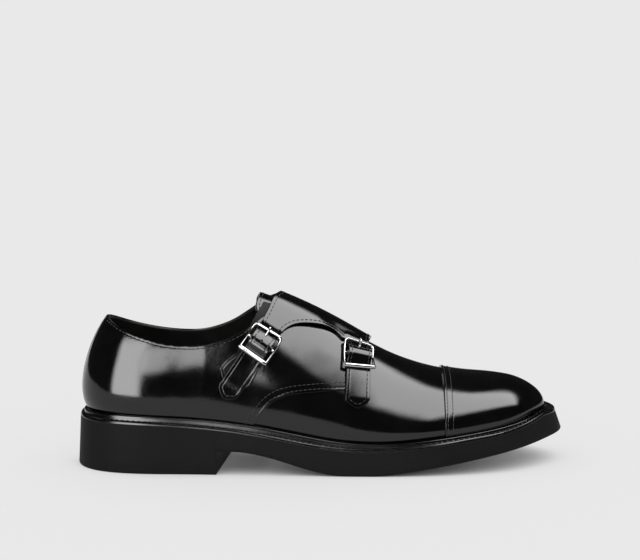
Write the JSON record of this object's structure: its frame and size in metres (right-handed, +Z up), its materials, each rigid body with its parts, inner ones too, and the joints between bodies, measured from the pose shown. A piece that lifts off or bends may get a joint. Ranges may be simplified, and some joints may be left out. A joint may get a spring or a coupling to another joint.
{
  "type": "monk strap shoe",
  "caption": "Right-foot leather shoe with toe cap, strap flap held by side buckles, stitched welt and one-piece rubber sole with heel.",
  "frame": {"origin": "middle of the shoe's plan, on the floor", "axes": "+X from heel to toe, -Y to the lateral side with the buckles, +Z up"},
  "size_m": [0.3099, 0.1079, 0.1114],
  "materials": {
    "sole_rubber": "matte, moulded",
    "welt_leather": "polished edge",
    "insole_leather": "matte lining leather",
    "upper_leather": "high-shine polished",
    "buckle_steel": "polished"
  },
  "bodies": {
    "root": {"outsole": "sole_rubber", "welt": "welt_leather", "insole": "insole_leather", "upper": "upper_leather", "toe_cap": "upper_leather", "tongue": "upper_leather", "monk_flap": "upper_leather", "buckle_frame_rear": "buckle_steel", "buckle_prong_rear": "buckle_steel", "buckle_tab_rear": "upper_leather", "buckle_frame_front": "buckle_steel", "buckle_prong_front": "buckle_steel", "buckle_tab_front": "upper_leather"}
  },
  "joints": []
}
